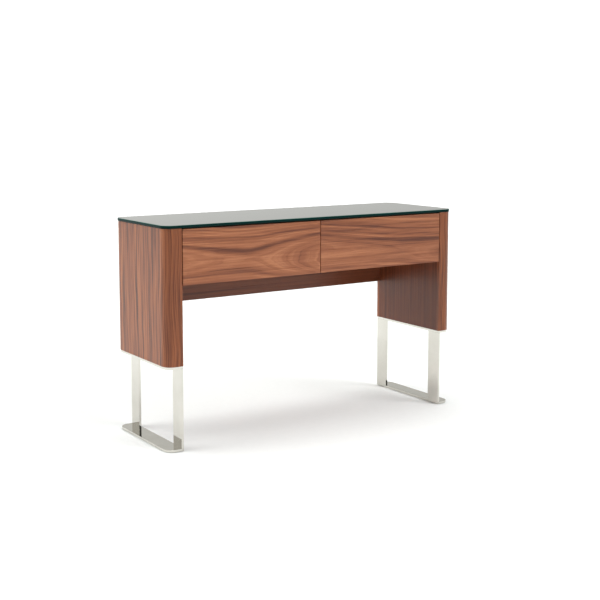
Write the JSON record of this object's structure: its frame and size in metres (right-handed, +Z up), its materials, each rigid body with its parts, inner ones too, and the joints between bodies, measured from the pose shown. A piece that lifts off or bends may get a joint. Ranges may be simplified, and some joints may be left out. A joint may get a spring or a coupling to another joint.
{
  "type": "console table",
  "caption": "Console table with a painted glass top over handleless drawers and a deep back apron, carried by thick round-cornered side panels on flat-bar steel sled legs.",
  "frame": {"origin": "centre of the footprint, on the floor", "axes": "+X along the table's width, to the right seen from the front; +Y from the drawer fronts towards the back panel; +Z up"},
  "size_m": [1.232, 0.392, 0.76],
  "materials": {
    "painted_glass": "clear float glass, back-painted, with polished green edges",
    "walnut": "satin-lacquered walnut veneer",
    "pine_core": "raw",
    "birch_ply": "clear-lacquered plywood",
    "drawer_liner": "laminated hardboard",
    "beech": "raw",
    "polished_steel": "mirror-polished stainless steel",
    "zinc_steel": "bright zinc-plated",
    "cage_steel": "plain, oiled",
    "zinc_alloy": "die-cast",
    "black_steel": "black oxide",
    "brass": "plain",
    "black_rubber": "matte",
    "clear_silicone": "clear, soft"
  },
  "bodies": {
    "table": {"glass_top": "painted_glass", "glass_bumpers": "clear_silicone", "top_board": "walnut", "bottom_board": "walnut", "back_panel": "walnut", "centre_divider": "walnut", "dowels": "beech", "cam_bolts": "zinc_steel", "cam_locks": "zinc_alloy", "drawer_bumpers": "clear_silicone", "cabinet_rail_screws": "zinc_steel", "left_outer_shell": "walnut", "left_inner_panel": "walnut", "left_core_frame": "pine_core", "left_top_plate": "polished_steel", "left_front_upright": "polished_steel", "left_rear_upright": "polished_steel", "left_foot_plate": "polished_steel", "left_leg_screws": "black_steel", "left_leg_inserts": "brass", "left_floor_pads": "black_rubber", "right_outer_shell": "walnut", "right_inner_panel": "walnut", "right_core_frame": "pine_core", "right_top_plate": "polished_steel", "right_front_upright": "polished_steel", "right_rear_upright": "polished_steel", "right_foot_plate": "polished_steel", "right_leg_screws": "black_steel", "right_leg_inserts": "brass", "right_floor_pads": "black_rubber", "left_drawer_cabinet_rails": "zinc_steel", "right_drawer_cabinet_rails": "zinc_steel"},
    "left_drawer": {"left_drawer_inner_rails": "zinc_steel", "left_drawer_front": "walnut", "left_drawer_box_front": "birch_ply", "left_drawer_left_side": "birch_ply", "left_drawer_right_side": "birch_ply", "left_drawer_back": "birch_ply", "left_drawer_bottom": "drawer_liner", "left_drawer_front_screws": "zinc_steel", "left_drawer_rail_screws": "zinc_steel"},
    "left_middle_rails": {"left_drawer_middle_rails": "zinc_steel"},
    "left_outer_cages": {"left_drawer_outer_cages": "cage_steel"},
    "left_inner_cages": {"left_drawer_inner_cages": "cage_steel"},
    "right_drawer": {"right_drawer_inner_rails": "zinc_steel", "right_drawer_front": "walnut", "right_drawer_box_front": "birch_ply", "right_drawer_left_side": "birch_ply", "right_drawer_right_side": "birch_ply", "right_drawer_back": "birch_ply", "right_drawer_bottom": "drawer_liner", "right_drawer_front_screws": "zinc_steel", "right_drawer_rail_screws": "zinc_steel"},
    "right_middle_rails": {"right_drawer_middle_rails": "zinc_steel"},
    "right_outer_cages": {"right_drawer_outer_cages": "cage_steel"},
    "right_inner_cages": {"right_drawer_inner_cages": "cage_steel"}
  },
  "joints": [
    {"name": "left_drawer_slide", "type": "slide", "parent": "table", "child": "left_drawer", "axis": [0, -1, 0], "range_m": [0, 0.3]},
    {"name": "left_middle_rails_slide", "type": "slide", "parent": "table", "child": "left_middle_rails", "axis": [0, -1, 0], "range_m": [0, 0.15]},
    {"name": "left_outer_cages_slide", "type": "slide", "parent": "table", "child": "left_outer_cages", "axis": [0, -1, 0], "range_m": [0, 0.075]},
    {"name": "left_inner_cages_slide", "type": "slide", "parent": "table", "child": "left_inner_cages", "axis": [0, -1, 0], "range_m": [0, 0.225]},
    {"name": "right_drawer_slide", "type": "slide", "parent": "table", "child": "right_drawer", "axis": [0, -1, 0], "range_m": [0, 0.3]},
    {"name": "right_middle_rails_slide", "type": "slide", "parent": "table", "child": "right_middle_rails", "axis": [0, -1, 0], "range_m": [0, 0.15]},
    {"name": "right_outer_cages_slide", "type": "slide", "parent": "table", "child": "right_outer_cages", "axis": [0, -1, 0], "range_m": [0, 0.075]},
    {"name": "right_inner_cages_slide", "type": "slide", "parent": "table", "child": "right_inner_cages", "axis": [0, -1, 0], "range_m": [0, 0.225]}
  ],
  "couplings": [
    {"joint": "left_middle_rails_slide", "follows": "left_drawer_slide", "ratio": 0.5},
    {"joint": "left_outer_cages_slide", "follows": "left_drawer_slide", "ratio": 0.25},
    {"joint": "left_inner_cages_slide", "follows": "left_drawer_slide", "ratio": 0.75},
    {"joint": "right_middle_rails_slide", "follows": "right_drawer_slide", "ratio": 0.5},
    {"joint": "right_outer_cages_slide", "follows": "right_drawer_slide", "ratio": 0.25},
    {"joint": "right_inner_cages_slide", "follows": "right_drawer_slide", "ratio": 0.75}
  ]
}
